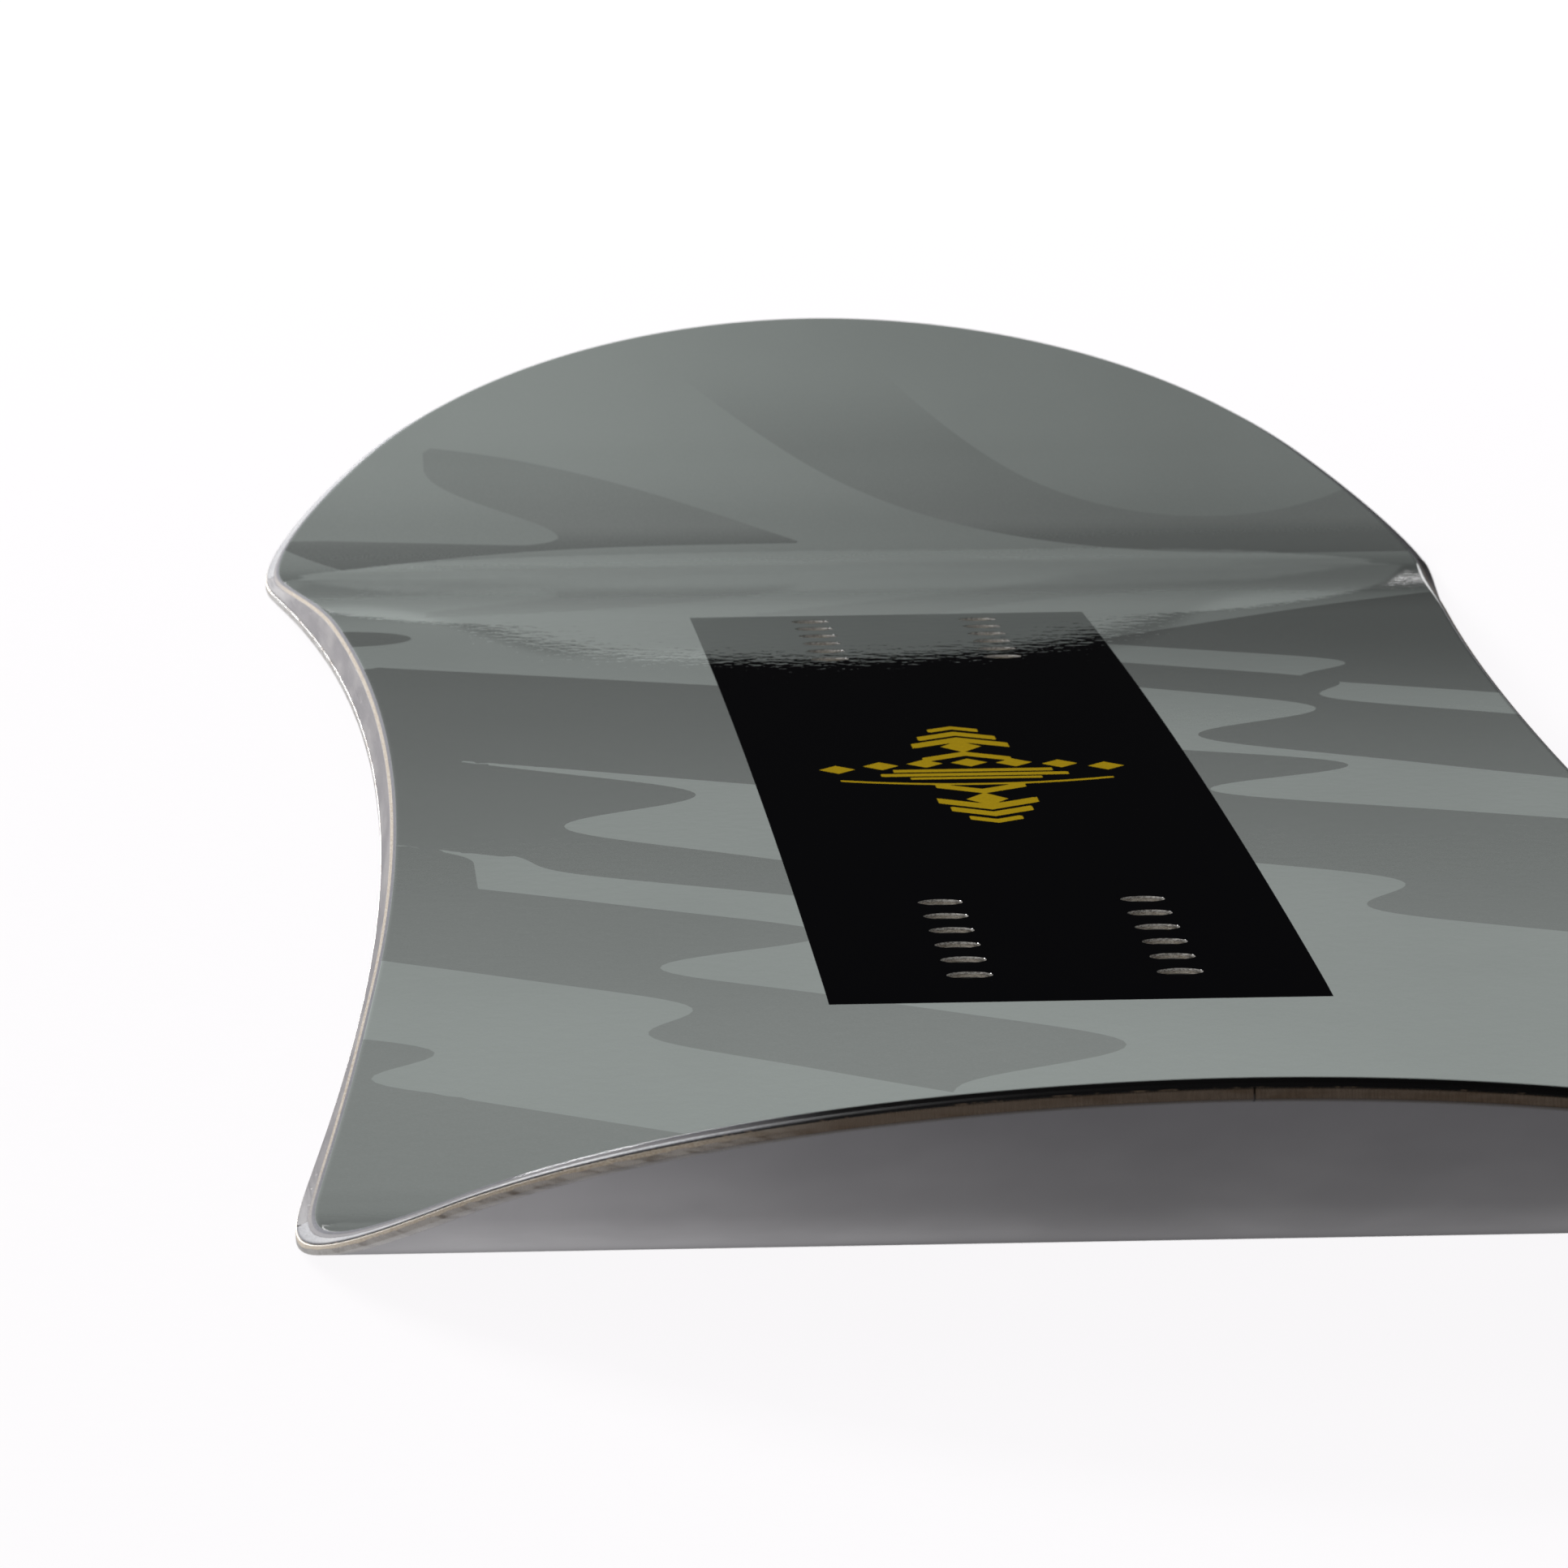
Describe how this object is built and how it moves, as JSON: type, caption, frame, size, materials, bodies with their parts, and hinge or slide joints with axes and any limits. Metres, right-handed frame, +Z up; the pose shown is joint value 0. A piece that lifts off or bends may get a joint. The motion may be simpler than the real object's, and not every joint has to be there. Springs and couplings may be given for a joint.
{
  "type": "snowboard",
  "caption": "Twin-tip snowboard: laminated wood-core deck with sidecut, camber, kicked round tips, steel edges, black sidewalls and threaded binding inserts.",
  "frame": {"origin": "middle of the board, on the plane that its two contact lines rest on", "axes": "+Y towards the nose, +Z up out of the deck, +X to the right of a person who faces the nose"},
  "size_m": [0.299, 1.525, 0.0523],
  "materials": {
    "topsheet": "clear gloss over a grey-green camouflage print with a black middle panel",
    "laminate": "glass fibre set in epoxy, pale tan where it is cut",
    "sidewall": "black ABS, planed satin",
    "tip_spacer": "black ABS, satin",
    "steel_edge": "ground hardened steel, fine lengthways scratches",
    "rubber_foil": "thin black rubber foil",
    "base": "stone-ground waxed polyethylene, lilac-grey",
    "beech": "planed beech",
    "poplar": "planed poplar",
    "paulownia": "planed paulownia",
    "insert": "turned stainless steel",
    "binding_mat": "woven fibre mat set in epoxy"
  },
  "bodies": {
    "root": {"topsheet": "topsheet", "upper_laminate": "laminate", "lower_laminate": "laminate", "sidewall_left": "sidewall", "sidewall_right": "sidewall", "tip_spacer_nose": "tip_spacer", "tip_spacer_tail": "tip_spacer", "steel_edge_left": "steel_edge", "steel_edge_right": "steel_edge", "edge_foil_left": "rubber_foil", "edge_foil_right": "rubber_foil", "base_sheet": "base", "core_stringer_left": "beech", "core_stringer_right": "beech", "core_strip_left_2": "poplar", "core_strip_left_4": "poplar", "core_strip_right_2": "poplar", "core_strip_right_4": "poplar", "core_rail_left": "poplar", "core_rail_right": "poplar", "core_strip_centre": "paulownia", "core_strip_left_3": "paulownia", "core_strip_left_5": "paulownia", "core_strip_right_3": "paulownia", "core_strip_right_5": "paulownia", "inserts_tail_left": "insert", "inserts_tail_right": "insert", "inserts_nose_left": "insert", "inserts_nose_right": "insert", "binding_mat_nose": "binding_mat", "binding_mat_tail": "binding_mat"}
  },
  "joints": []
}
